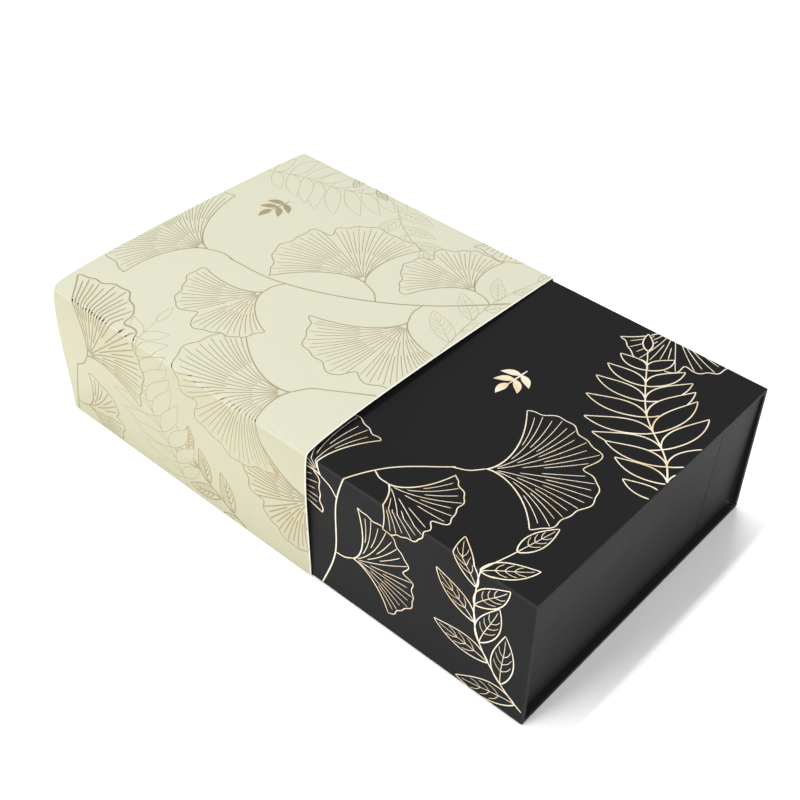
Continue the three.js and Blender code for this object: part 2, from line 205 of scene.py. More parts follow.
def add_node(tree, kind, inputs=None, **settings):
    """Adds one node. Each input is a value, or a node or one of its outputs, which is linked."""
    node = tree.nodes.new("ShaderNode" + kind)
    for name, value in settings.items():
        setattr(node, name, value)
    for name, value in (inputs or {}).items():
        if isinstance(value, bpy.types.Node):
            value = next(socket for socket in value.outputs if socket.enabled)
        if isinstance(value, bpy.types.NodeSocket):
            tree.links.new(value, node.inputs[name])
        else:
            node.inputs[name].default_value = value
    return node


def new_material(name):
    """An empty material, what adds nodes to it, and the place on the piece that its patterns follow."""
    material = bpy.data.materials.new(name)
    material.use_nodes = True
    tree = material.node_tree
    tree.nodes.clear()
    add = partial(add_node, tree)
    return material, add, add("TexCoord").outputs["Object"]


def shade(colour, shares=1.0):
    """A colour times one share, or one each for red, green and blue, as a shader takes it."""
    return (*(np.array(colour) * shares), 1.0)


def finished(material, add, inputs, bumps=()):
    """Ends a material in one shader. Each bump is (height, depth in metres), the coarse ones first."""
    normal = {}
    for height, depth in bumps:
        bump = add("Bump", {"Height": height, "Distance": depth, "Strength": 1.0, **normal})
        normal = {"Normal": bump}
    shader = add("BsdfPrincipled", {**inputs, **normal})
    add("OutputMaterial", {"Surface": shader})
    return material


def block_depths(add, place, low, high):
    """How deep a point lies behind the faces of a block from low to high, along X, Y and Z."""
    offset = add("VectorMath", {0: place, 1: (low + high) / 2}, operation="SUBTRACT")
    offset = add("VectorMath", {0: offset}, operation="ABSOLUTE")
    depth = add("VectorMath", {0: (high - low) / 2, 1: offset}, operation="SUBTRACT")
    return add("SeparateXYZ", {0: depth}).outputs


def plane_distance(add, place, axis, at):
    """How far a point lies from the plane that crosses an axis at a place."""
    along = add("SeparateXYZ", {0: place}).outputs[axis]
    offset = add("Math", {0: along, 1: at}, operation="SUBTRACT")
    return add("Math", {0: offset}, operation="ABSOLUTE")


def fold_highlight_band(add, place, low, high, depth):
    """1 at the upper edges of a block's near and far sides, fading out at a depth below them, where a
    highlight is painted.
    """
    _x, y, z = block_depths(add, place, low - ALONG_Z, high)
    below = add("MapRange", {"Value": z, "From Max": depth, **FADE})
    on_side = add("MapRange", {"Value": y, "From Min": 0.2 * MM, "From Max": 0.6 * MM, **FADE})
    return add("Math", {0: below, 1: on_side}, operation="MULTIPLY")


def corner_crease_glints(add, place, low, high):
    """Thin broken lines near a block's corners, where the paper is folded in: the mask of glints painted on
    them.
    """
    x, y, z = block_depths(add, place, low, high)
    most = add("Math", {0: x, 1: y}, operation="MAXIMUM")
    most = add("Math", {0: most, 1: z}, operation="MAXIMUM")
    near = add("MapRange", {"Value": most, "From Min": 1.5 * MM, "From Max": 9 * MM, **FADE})
    folds = add("TexNoise", {"Vector": place, "Scale": 1 / (3.5 * MM), "Detail": 1.0})
    ridge = add("Math", {0: folds, 1: 0.5}, operation="SUBTRACT")
    ridge = add("Math", {0: ridge}, operation="ABSOLUTE")
    line = add("MapRange", {"Value": ridge, "From Max": 0.03, **FADE})
    return add("Math", {0: near, 1: line}, operation="MULTIPLY")


def edge_nearness(add, place, low, high, reach):
    """1 on the edges of a block from low to high, falling to 0 at a reach from them."""
    x, y, z = block_depths(add, place, low, high)
    # A point's distance to the nearest edge is the second smallest of its depths behind the faces
    least = add("Math", {0: x, 1: y}, operation="MINIMUM")
    most = add("Math", {0: x, 1: y}, operation="MAXIMUM")
    other = add("Math", {0: most, 1: z}, operation="MINIMUM")
    second = add("Math", {0: least, 1: other}, operation="MAXIMUM")
    spread = {"Value": second, "From Max": reach, **FADE}
    return add("MapRange", spread, interpolation_type="SMOOTHSTEP")


def soft_touch_laminate(name, paper, rubbed_and_highlit, low, high, seam=None):
    """Art paper printed black under a soft-touch film.

    The film scatters light, so the black is deep face on and blooms to grey at a grazing view. It shows a
    very fine grain, faint clouds of handling and edges worn paler in patches. A paler line is painted along
    the folds and along the upper edges of the sides as their highlight, and pale broken lines are painted
    near the flap's lower corners as the glints of the folded-in paper. A seam is the place across Y where
    one sheet laps another, which shows as a faint upright line of painted shade over a small bump.
    """
    material, add, place = new_material(name)
    # The film's grain is about 0.1 mm, drawn at 0.5 mm so that it shows
    grain = add("TexNoise", {"Vector": place, "Scale": 1 / (0.5 * MM), "Detail": 2.0})
    fibre = add("TexNoise", {"Vector": place, "Scale": 1 / (3 * MM), "Detail": 3.0})
    handling = add("TexNoise", {"Vector": place, "Scale": 1 / (60 * MM), "Detail": 4.0})
    worn = add("TexNoise", {"Vector": place, "Scale": 1 / (9 * MM), "Detail": 3.0})
    edges = edge_nearness(add, place, low, high, 1.1 * MM)
    patchy = add("MapRange", {"Value": worn, "From Min": 0.3, "From Max": 0.75})
    wear_and_highlight = add("Math", {0: edges, 1: patchy}, operation="MULTIPLY")
    # A highlight is painted all along the lid's two folds, as the rounded folds catch the light
    folds = edge_nearness(add, place, low - ALONG_X - ALONG_Z, high + ALONG_X, 0.7 * MM)
    folds = add("Math", {0: folds, 1: 0.9}, operation="MULTIPLY")
    wear_and_highlight = add("Math", {0: wear_and_highlight, 1: 0.4, 2: folds}, operation="MULTIPLY_ADD")
    # A highlight is painted along the upper edges of the near and far sides, broken a little by the fibres
    highlight_band = fold_highlight_band(add, place, low, high, 3 * MM)
    uneven = add("MapRange", {"Value": fibre, "To Min": 0.2, "To Max": 0.95})
    highlight_band = add("Math", {0: highlight_band, 1: uneven}, operation="MULTIPLY")
    wear_and_highlight = add("Math", {0: wear_and_highlight, 1: highlight_band}, operation="MAXIMUM")
    clouds = add("MapRange", {"Value": handling, "To Max": 0.4})
    tones = {"Factor": clouds, FIRST: shade(paper), SECOND: shade(paper, 1.35)}
    base = add("Mix", tones, data_type="RGBA")
    # Worn edges and the painted highlights take the paler paper
    base = add("Mix", {"Factor": wear_and_highlight, FIRST: base, SECOND: shade(rubbed_and_highlit)}, data_type="RGBA")
    bumps = [(fibre, 0.02 * MM), (grain, 0.006 * MM)]
    if seam is not None:
        # Shade is painted as a dark upright line where the tray paper laps, over a small bump
        lap = {"Value": plane_distance(add, place, "Y", seam), "From Min": 0.2 * MM, "From Max": 1.3 * MM}
        lap = add("MapRange", {**lap, **FADE})
        base = add("Mix", {"Factor": lap, FIRST: base, SECOND: shade(paper, 0.15)}, data_type="RGBA")
        bumps.insert(0, (lap, 0.21 * MM))
    # Glints are painted on the folded paper where the flap's foot closes on the base
    crease_glints = corner_crease_glints(add, place, low - ALONG_Y, high + ALONG_Z)
    # The painted glints' colour, far paler than the paper
    pale = shade(rubbed_and_highlit, 5.5)
    surface = {
        "Base Color": add("Mix", {"Factor": crease_glints, FIRST: base, SECOND: pale}, data_type="RGBA"),
        "Roughness": add("MapRange", {"Value": handling, "To Min": 0.4, "To Max": 0.56}),
        "Specular IOR Level": 0.037,
        "Sheen Weight": 0.014,
        "Sheen Roughness": 0.5,
    }
    return finished(material, add, surface, bumps)


def lining_paper(name, paper):
    """Uncoated black lining paper: dead matte, with soft fibres that make it a little uneven."""
    material, add, place = new_material(name)
    fibre = add("TexNoise", {"Vector": place, "Scale": 1 / (1.2 * MM), "Detail": 5.0})
    cloud = add("TexNoise", {"Vector": place, "Scale": 1 / (25 * MM), "Detail": 2.0})
    tones = {"Factor": cloud, FIRST: shade(paper), SECOND: shade(paper, 1.5)}
    surface = {
        "Base Color": add("Mix", tones, data_type="RGBA"),
        "Roughness": add("MapRange", {"Value": fibre, "To Min": 0.78, "To Max": 0.95}),
    }
    return finished(material, add, surface, [(fibre, 0.03 * MM)])


def stamped_foil(name, foil):
    """Champagne foil, hot stamped through the film: a soft metal, a little broken by the paper's grain.

    It stays bright all over, because its face scatters as much as it mirrors.
    """
    material, add, place = new_material(name)
    grain = add("TexNoise", {"Vector": place, "Scale": 1 / (0.6 * MM), "Detail": 2.0})
    patch = add("TexNoise", {"Vector": place, "Scale": 1 / (14 * MM), "Detail": 3.0})
    share = add("MapRange", {"Value": patch, "From Min": 0.42, "From Max": 0.7})
    tones = {"Factor": share, FIRST: shade(foil), SECOND: shade(foil, (0.86, 0.74, 0.56))}
    surface = {
        "Base Color": add("Mix", tones, data_type="RGBA"),
        "Metallic": 0.2,
        "Roughness": add("MapRange", {"Value": patch, "To Min": 0.26, "To Max": 0.4}),
    }
    return finished(material, add, surface, [(grain, 0.008 * MM)])


def side_shaded_and_tinted(add, place, top, base):
    """A colour that is deeper and creamier below the folds of the top panel, the deeper part painted shade
    against the bright floor's light.
    """
    height = add("SeparateXYZ", {0: place}).outputs["Z"]
    below = {"Value": height, "From Min": top - 0.5 * MM, "From Max": top - 3 * MM}
    painted_side_shade = {"Factor": add("MapRange", below), FIRST: base, SECOND: shade(SIDE_SHADE_AND_TINT)}
    return add("Mix", painted_side_shade, data_type="RGBA", blend_type="MULTIPLY")


def coated_card(name, settings, low, high):
    """Ivory folding card with a matte coating.

    The coating is even and chalky, over fibres that show as a faint mottle. It cracks paler along the folds,
    and the white core shows as a line along the cut mouths, painted wider than the card is thick, so that it
    also stands for the highlight on the cut edge.
    """
    material, add, place = new_material(name)
    fibre = add("TexNoise", {"Vector": place, "Scale": 1 / (1.6 * MM), "Detail": 4.0})
    mottle = add("TexNoise", {"Vector": place, "Scale": 1 / (30 * MM), "Detail": 3.0})
    crack = add("TexNoise", {"Vector": place, "Scale": 1 / (2.5 * MM), "Detail": 4.0})
    folds = edge_nearness(add, place, low - ALONG_X, high + ALONG_X, 0.9 * MM)
    broken = add("MapRange", {"Value": crack, "From Min": 0.35, "From Max": 0.7})
    whitened = add("Math", {0: folds, 1: broken}, operation="MULTIPLY")
    whitened = add("Math", {0: whitened, 1: 0.3}, operation="MULTIPLY")
    face, core, rim = settings.card_colour, shade(settings.core_colour), settings.bare_rim
    clouds = add("MapRange", {"Value": mottle, "To Max": 0.5})
    tones = {"Factor": clouds, FIRST: shade(face), SECOND: shade(face, 0.955)}
    base = add("Mix", tones, data_type="RGBA")
    base = add("Mix", {"Factor": whitened, FIRST: base, SECOND: core}, data_type="RGBA")
    # Painted shade on the side panels, which are creamier as well
    base = side_shaded_and_tinted(add, place, high[2], base)
    # The white core along the cut mouths, widened into a painted highlight of the cut edge
    middle, half = (low[0] + high[0]) / 2, (high[0] - low[0]) / 2
    from_middle = plane_distance(add, place, "X", middle)
    cut = add("MapRange", {"Value": from_middle, "From Min": half - rim, "From Max": half - 0.6 * rim})
    surface = {
        "Base Color": add("Mix", {"Factor": cut, FIRST: base, SECOND: core}, data_type="RGBA"),
        "Roughness": add("MapRange", {"Value": mottle, "To Min": 0.5, "To Max": 0.62}),
        "IOR": 1.45,
    }
    return finished(material, add, surface, [(fibre, 0.025 * MM)])


def bare_card(name, face):
    """Uncoated card or its cut edge: white, dry and fibrous."""
    material, add, place = new_material(name)
    fibre = add("TexNoise", {"Vector": place, "Scale": 1 / (0.8 * MM), "Detail": 5.0})
    tones = {"Factor": fibre, FIRST: shade(face), SECOND: shade(face, 0.9)}
    surface = {
        "Base Color": add("Mix", tones, data_type="RGBA"),
        "Roughness": add("MapRange", {"Value": fibre, "To Min": 0.8, "To Max": 0.95}),
    }
    return finished(material, add, surface, [(fibre, 0.04 * MM)])


def printed_ink(name, ink, warmer, low, high, metallic, roughness, cracked):
    """Ink on the coated card: a film that follows the card's fibres, a little thinner and warmer in places.

    Where it runs over a fold it cracks, by the share given, and shows dark specks.
    """
    material, add, place = new_material(name)
    fibre = add("TexNoise", {"Vector": place, "Scale": 1 / (1.6 * MM), "Detail": 4.0})
    patch = add("TexNoise", {"Vector": place, "Scale": 1 / (22 * MM), "Detail": 2.0})
    share = add("MapRange", {"Value": patch, "From Min": 0.4, "From Max": 0.62})
    speck = add("TexNoise", {"Vector": place, "Scale": 1 / (5 * MM), "Detail": 2.0})
    speck = add("MapRange", {"Value": speck, "From Min": 0.47, "From Max": 0.53})
    folds = edge_nearness(add, place, low - ALONG_X, high + ALONG_X, 2.0 * MM)
    broken = add("Math", {0: folds, 1: speck}, operation="MULTIPLY")
    broken = add("Math", {0: broken, 1: 2 * cracked}, operation="MULTIPLY", use_clamp=True)
    tones = {"Factor": share, FIRST: shade(ink), SECOND: shade(warmer)}
    # Painted shade on the ink on the side panels, which is creamier as well
    base = side_shaded_and_tinted(add, place, high[2], add("Mix", tones, data_type="RGBA"))
    dark = shade(warmer, 0.06)
    rough = {"Value": fibre, "To Min": roughness - 0.06, "To Max": roughness + 0.08}
    surface = {
        "Base Color": add("Mix", {"Factor": broken, FIRST: base, SECOND: dark}, data_type="RGBA"),
        "Metallic": metallic,
        "Specular IOR Level": add("MapRange", {"Value": broken, "To Min": 0.5, "To Max": 0.05}),
        "Roughness": add("MapRange", rough),
    }
    return finished(material, add, surface, [(fibre, 0.02 * MM)])


def solid_board(name, board):
    """Grey board of pressed waste paper, or the kraft paper of a tape: matte, and flecked with fibres."""
    material, add, place = new_material(name)
    fleck = add("TexNoise", {"Vector": place, "Scale": 1 / (1.5 * MM), "Detail": 6.0})
    share = add("MapRange", {"Value": fleck, "From Min": 0.35, "From Max": 0.65})
    tones = {"Factor": share, FIRST: shade(board, 0.7), SECOND: shade(board, 1.2)}
    base = add("Mix", tones, data_type="RGBA")
    return finished(material, add, {"Base Color": base, "Roughness": 0.9}, [(fleck, 0.06 * MM)])


def bright_metal(name, metal, roughness):
    """Nickel plate or bright steel: a soft mirror, a little broken by the metal's fine grain."""
    material, add, place = new_material(name)
    grain = add("TexNoise", {"Vector": place, "Scale": 1 / (0.4 * MM), "Detail": 3.0})
    tones = {"Factor": grain, FIRST: shade(metal), SECOND: shade(metal, 0.85)}
    rough = {"Value": grain, "To Min": roughness - 0.05, "To Max": roughness + 0.1}
    surface = {
        "Base Color": add("Mix", tones, data_type="RGBA"),
        "Metallic": 1.0,
        "Roughness": add("MapRange", rough),
    }
    return finished(material, add, surface, [(grain, 0.004 * MM)])


def give(material, *nodes):
    """Puts a material on carried-over pieces of the model."""
    for node in nodes:
        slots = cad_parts[node].data.materials
        slots.clear()
        slots.append(material)


# Line art, in millimetres on a flat sheet

# A pen has an ink, a width for outlines and stems, and one for veins
Pen = namedtuple("Pen", "ink main fine")

# Half of the angle that a fan opens to, in degrees, and the depth of its cleft as a share of its span
FAN_SPREAD, FAN_CLEFT = 64.0, 0.16
# How far leaves lean from their stem, in degrees, and where on it the first ones stand, as a share
SPRIG_LEAN, SPRIG_START = 42.0, 0.16
FROND_LEAN, FROND_START = 58.0, 0.12


def even_steps(line, step):
    """The same line with its points at even steps, at least three of them."""
    run = np.concatenate([[0], np.cumsum(np.linalg.norm(np.diff(line, axis=0), axis=1))])
    at = np.linspace(0, run[-1], max(3, int(math.ceil(run[-1] / step)) + 1))
    return np.column_stack([np.interp(at, run, line[:, k]) for k in (0, 1)])


def smooth_curve(points, step=1.2):
    """A smooth curve through given points, with even steps along it."""
    knots = np.asarray(points, float)
    padded = np.vstack([2 * knots[0] - knots[1], knots, 2 * knots[-1] - knots[-2]])
    t = np.linspace(0, 1, 24, endpoint=False)[:, None]
    pieces = [
        0.5 * (2 * b + (c - a) * t + (2 * a - 5 * b + 4 * c - d) * t**2 + (3 * b - a - 3 * c + d) * t**3)
        for a, b, c, d in zip(padded[:-3], padded[1:-2], padded[2:-1], padded[3:])
    ]
    return even_steps(np.vstack(pieces + [knots[-1:]]), step)


def turned(points, degrees):
    """Points turned about the origin."""
    c, s = math.cos(math.radians(degrees)), math.sin(math.radians(degrees))
    return points @ np.array([[c, s], [-s, c]])


def heading(line, i):
    """The way a line runs at one of its points, in degrees."""
    a, b = line[max(i - 1, 0)], line[min(i + 1, len(line) - 1)]
    return math.degrees(math.atan2(b[1] - a[1], b[0] - a[0]))


def stroke(points, weight, start=1.0, end=1.0):
    """One line: its points, its widths as shares of the pen's, and which of the pen's widths it takes."""
    points = np.asarray(points, float)
    return points, np.linspace(start, end, len(points)), weight


class Motif:
    """Line art in layers, the front ones first.

    Each layer is its strokes and the outline that hides what is behind it, or None.
    """

    def __init__(self, strokes=(), outline=None):
        self.layers = [(list(strokes), outline)] if strokes else []

    def add(self, other, at=(0, 0), turn=0.0, mirror=False):
        """Places another motif behind what is there."""
        flip = np.array([-1.0 if mirror else 1.0, 1.0])
        for strokes, outline in other.layers:
            moved = [(turned(line * flip, turn) + at, widths, weight) for line, widths, weight in strokes]
            self.layers.append((moved, None if outline is None else turned(outline * flip, turn) + at))
        return self


def ginkgo_leaf(span, phase, gap=4.6, stalk=0.5, lean=0.12):
    """A fan-shaped leaf on its stalk, with veins that fork from the foot, a gap apart. It opens along +V."""

    def place(t, s):
        ripple = 0.028 * np.sin(4 * np.pi * t + phase) + 0.012 * np.sin(10.4 * np.pi * t + 2 * phase)
        notch = FAN_CLEFT * np.exp(-((t / 0.075) ** 2))
        radius = span * (0.83 + 0.17 * np.cos(t * np.pi / 2)) * (1 + ripple) * (1 - notch) * s
        angle = np.radians(FAN_SPREAD) * t * s**0.42
        return np.column_stack([radius * np.sin(angle) + 0.5 * lean * radius * s, radius * np.cos(angle)])

    along = np.linspace(0, 1, 60) ** 1.3
    left, right = place(np.full(60, -1.0), along), place(np.full(60, 1.0), along)
    rim = place(np.linspace(-1, 1, 140), np.ones(140))
    strokes = [
        stroke(even_steps(left, 1.2), "main", 1.15, 0.8),
        stroke(even_steps(rim, 1.0), "main", 0.8, 0.8),
        stroke(even_steps(right, 1.2), "main", 1.15, 0.8),
    ]
    veins = max(4, round(span * math.radians(FAN_SPREAD) / gap))
    for k in range(1, 2 * veins):
        # The cleft takes the middle vein's place
        if k == veins:
            continue
        start = 0.1 if k % 4 == 0 else (0.3 if k % 2 == 0 else 0.52)
        s = np.linspace(start, 0.98 if k % 2 == 0 else 0.93, 40)
        strokes.append(stroke(even_steps(place(np.full(40, k / veins - 1), s), 1.4), "fine", 0.95, 0.8))
    if stalk:
        line = smooth_curve([(0, 0), (-0.02 * span, -0.4 * stalk * span), (0.09 * span, -stalk * span)])
        strokes.append(stroke(line, "main", 1.1, 1.5))
    return Motif(strokes, np.vstack([left, rim, right[::-1]]))


def pointed_leaf(length, width, bend, veins):
    """A lens-shaped leaf that grows along +V. With veins, which sweep forward, it has a midrib too."""
    s = np.linspace(0, 1, 40)
    centre = np.column_stack([bend * length * np.sin(np.pi * s * 0.5) ** 2, length * s])
    half = np.column_stack([0.5 * width * np.sin(np.pi * s**0.82) ** 0.9, np.zeros_like(s)])
    left, right = centre - half, centre + half
    strokes = [stroke(even_steps(edge, 0.9), "main", 1.0, 0.7) for edge in (left, right)]
    if veins:
        strokes.append(stroke(even_steps(centre[:36], 1.0), "fine", 1.1, 0.6))
    for k in range(1, veins + 1):
        i = int((0.12 + 0.62 * k / (veins + 1)) * 39)
        j = min(i + 7, 38)
        for side in (-1, 1):
            reach = centre[j] + side * 0.78 * half[j]
            middle = 0.5 * (centre[i] + reach) + np.array([side * 0.02 * length, -0.012 * length])
            strokes.append(stroke(smooth_curve([centre[i], middle, reach], 0.8), "fine", 0.85, 0.6))
    return Motif(strokes, np.vstack([left, right[::-1]]))


def solid_leaf(length, width):
    """A filled leaf, drawn as one swelling stroke along +V."""
    s = np.linspace(0, 1, 19)
    swell = width * np.sin(np.pi * s**0.8) + 0.1
    return Motif([(np.column_stack([0.08 * length * np.sin(np.pi * s), length * s]), swell, "solid")])


def small_emblem(height):
    """A plain sprig of solid leaves, in pairs on a short stem, for the places that carry a small mark."""
    stem = np.column_stack([np.zeros(5), np.linspace(0, 0.62, 5)]) * height
    emblem = Motif([(stem, np.full(5, 0.04 * height), "solid")])
    for share, turn in ((0.2, 62), (0.4, 48)):
        for side in (-1, 1):
            leaf = solid_leaf(0.44 * height, 0.17 * height)
            emblem.add(leaf, (0, share * height), -side * turn, side < 0)
    return emblem.add(solid_leaf(0.42 * height, 0.18 * height), (0, 0.58 * height))


def leafy_sprig(points, pairs, leaf, veins, shrink=0.45):
    """A curved twig with pointed leaves on both sides in turn, and one at its tip.

    leaf is (length, width) at the foot, and the leaves shrink by a share towards the tip.
    """
    line = smooth_curve(points)
    last = len(line) - 1
    sprig = Motif([stroke(line, "main", 1.2, 0.8)])
    for k in range(2 * pairs):
        side = 1 if k % 2 else -1
        share = SPRIG_START + (0.93 - SPRIG_START) * k / (2 * pairs)
        i = int(share * last)
        grow = 1 - shrink * share
        shape = pointed_leaf(leaf[0] * grow, leaf[1] * grow, 0.12, veins)
        turn = heading(line, i) - 90 - side * SPRIG_LEAN * (1 - 0.35 * share)
        sprig.add(shape, line[i], turn, side < 0)
    tip = pointed_leaf(leaf[0] * (1 - shrink), leaf[1] * (1 - shrink), 0.0, veins)
    return sprig.add(tip, line[-1], heading(line, last) - 90)


def fern_frond(points, pairs, leaf):
    """A long frond whose leaflets swell to the middle and shorten to the tip. leaf is (length, width)."""
    line = smooth_curve(points)
    last = len(line) - 1
    frond = Motif([stroke(line, "main", 1.2, 0.7)])
    for k in range(pairs):
        share = FROND_START + (0.97 - FROND_START) * (k / pairs)
        swell = math.sin(math.pi * (0.2 + 0.74 * (k / pairs))) ** 0.8
        i = int(share * last)
        shape = pointed_leaf(leaf[0] * swell, leaf[1] * (0.45 + 0.55 * swell), 0.16, 0)
        for side in (-1, 1):
            turn = heading(line, i) - 90 - side * FROND_LEAN * (1 - 0.3 * share)
            frond.add(shape, line[i], turn, side < 0)
    tip = pointed_leaf(leaf[0] * 0.42, leaf[1] * 0.5, 0.0, 0)
    return frond.add(tip, line[-1], heading(line, last) - 90)


def ginkgo_branch(points, leaves, gap=4.6):
    """A woody stem with fans on it. Each leaf is (share along, turn from the stem, span, phase)."""
    branch, stems = Motif(), []
    line = smooth_curve(points)
    last = len(line) - 1
    for share, turn, span, phase in leaves:
        i = int(share * last)
        direction = heading(line, i) - 90 + turn
        foot = line[i] + turned(np.array([[0.0, 0.3 * span]]), direction)[0]
        middle = 0.5 * (line[i] + foot) + turned(np.array([[0.03 * span, 0.0]]), direction)[0]
        leaf = ginkgo_leaf(span, phase, gap, 0.0, 0.15 if turn > 0 else -0.15)
        branch.add(leaf, foot, direction)
        stems.append(stroke(smooth_curve([line[i], middle, foot]), "main", 0.95, 0.95))
    return branch.add(Motif([*stems, stroke(line, "main", 1.3, 0.9)]))


def inside(points, outline):
    """Which points lie inside a closed outline."""
    x, y = points[:, 0][:, None], points[:, 1][:, None]
    ax, ay = outline[:, 0][None], outline[:, 1][None]
    bx, by = np.roll(outline[:, 0], -1)[None], np.roll(outline[:, 1], -1)[None]
    crosses = (ay > y) != (by > y)
    at = ax + (y - ay) * (bx - ax) / np.where(by == ay, 1e-9, by - ay)
    return (crosses & (x < at)).sum(1) % 2 == 1


def composed(drawings, low, high):
    """Strokes of (motif, pen) pairs, the front ones first.

    Each motif hides what is behind it, and all end at the sheet's edges.
    """
    lines, masks = [], []
    for motif, pen in drawings:
        for strokes, outline in motif.layers:
            for points, widths, weight in strokes:
                widths = widths * {"main": pen.main, "fine": pen.fine, "solid": 1.0}[weight]
                keep = np.all((points > low) & (points < high), axis=1)
                for mask in masks:
                    if np.any(np.all((points > mask.min(0)) & (points < mask.max(0)), axis=1)):
                        keep &= ~inside(points, mask)
                if weight == "solid" and not keep.all():
                    continue
                breaks = np.flatnonzero(np.diff(np.concatenate([[0], keep, [0]])))
                for first, past in zip(breaks[::2], breaks[1::2]):
                    if past - first >= 3:
                        lines.append((points[first:past], widths[first:past], pen.ink))
            if outline is not None:
                masks.append(outline)
    return lines


def cover_artwork(settings, low, high):
    """Foil lines on the cover's sheet: U along the box, V from the spine's foot to the flap's foot."""
    pen = Pen("foil", settings.main_line / MM, settings.fine_line / MM)
    slim = Pen("foil", 0.85 * pen.main, 0.82 * pen.fine)
    gap = 6.4
    spine = [
        ginkgo_branch(
            [(76, -6), (90, 36), (92, 84), (108, 124), (138, 154)],
            [(0.99, -6, 66, 3.4), (0.52, 62, 54, 0.9), (0.74, -72, 44, 2.6), (0.26, -62, 50, 1.9)], gap,
        ),
        leafy_sprig([(248, 2), (218, 22), (198, 52), (196, 92), (204, 126)], 4, (46, 17), 3, 0.35),
    ]
    lid_and_flap = [
        Motif().add(small_emblem(30), (116, 250), 176),
        fern_frond([(250, 196), (226, 238), (192, 268), (160, 318)], 9, (42, 13)),
        fern_frond([(-8, 150), (14, 190), (30, 240), (28, 300)], 10, (40, 12)),
        Motif().add(ginkgo_leaf(56, 1.2, gap), (30, 60), -20),
        ginkgo_branch(
            [(70, 445), (92, 415), (128, 396), (150, 366)],
            [(0.98, 0, 52, 0.3), (0.6, -60, 44, 2.2), (0.25, 60, 40, 1.0)], gap,
        ),
        leafy_sprig([(245, 392), (210, 398), (184, 392), (166, 380)], 3, (40, 15), 3),
        Motif().add(ginkgo_leaf(54, 0.4, gap), (30, 400), -150),
    ]
    drawings = [(motif, slim) for motif in spine] + [(motif, pen) for motif in lid_and_flap]
    return composed(drawings, low, high)


def sleeve_artwork(settings, low, high):
    """Lines on the sleeve's sheet: U along the sleeve, V from the near foot to the far one."""
    bronze = Pen("bronze", settings.main_line / MM, settings.fine_line / MM)
    bold = Pen("bronze", 1.5 * bronze.main, 1.95 * bronze.fine)
    tonal = Pen("tonal", settings.tonal_line / MM, 0.85 * settings.tonal_line / MM)
    drawings = [
        (Motif().add(small_emblem(30), (44, 282), 176), bronze),
        (ginkgo_branch(
            [(248, 312), (200, 258), (156, 226), (108, 206), (66, 202)],
            [
                (0.98, 4, 78, 3.0), (0.5, -62, 72, 2.4), (0.36, 62, 70, 0.6),
                (0.78, 58, 56, 4.1), (0.16, -66, 54, 0.2),
            ],
        ), bronze),
        (ginkgo_branch([(252, 176), (232, 164), (210, 150)], [(0.98, 12, 80, 2.2)]), bronze),
        (Motif().add(ginkgo_leaf(62, 1.3), (242, 72), 128), bold),
        (leafy_sprig([(22, 396), (34, 370), (52, 350), (76, 340)], 2, (30, 12), 3), bronze),
        (fern_frond([(-6, 296), (24, 312), (60, 322), (104, 350)], 9, (38, 12)), tonal),
        (ginkgo_branch([(4, -6), (8, 20), (16, 50)], [(0.98, -28, 68, 1.1), (0.3, -72, 40, 0.4)], 5.6), bold),
        (fern_frond([(124, -6), (108, 30), (90, 66), (82, 124)], 10, (40, 12)), tonal),
        (leafy_sprig([(190, -6), (164, 8), (138, 26), (118, 56)], 3, (38, 15), 4), bold),
        (leafy_sprig([(236, 218), (230, 252), (226, 290), (232, 330)], 3, (38, 15), 4), tonal),
        (leafy_sprig([(96, 338), (122, 316), (146, 304), (170, 302)], 3, (34, 13), 4), tonal),
        (ginkgo_branch(
            [(30, 452), (60, 424), (110, 408), (160, 384)],
            [(0.98, 0, 58, 0.3), (0.6, -60, 54, 2.2), (0.25, 60, 46, 1.0)],
        ), bronze),
        (fern_frond([(248, 366), (212, 396), (190, 424), (182, 452)], 9, (38, 12)), tonal),
    ]
    return composed(drawings, low, high)


# Laying the flat sheets over the folds

# How near to a fold a stroke is divided, and how finely, in millimetres
FOLD_MARGIN, FOLD_STEP = 1.5, 0.25
# Points across a strip where it is flat and where it comes near a fold, and how near, in millimetres
FLAT_RAILS, FOLD_RAILS, RAIL_MARGIN = 2, 5, 1.0
# Strips take this many heights in turn, the highest this share above the lowest
HEIGHTS, HEIGHT_RISE = 23, 0.7
# Width of a strip's two ends, as a share of the stroke's, and its depth, as a share of its face's height
TIP_WIDTH, STRIP_DEPTH = 0.45, 1.5
# Margins without lines: inside the cover's rounded edges and at the sleeve's near foot, in millimetres
COVER_MARGIN, SLEEVE_MARGIN = 0.1, 0.5
# How many places round the sleeve lie on a side, on a fold, on the top and on the bottom
SIDE_PLACES, FOLD_PLACES, TOP_PLACES, BOTTOM_PLACES = 40, 8, 110, 10
# How many places lie along the sleeve, and the least angle of an edge that is shaded sharp
SLEEVE_STATIONS, SHARP_EDGE = 97, math.radians(35)


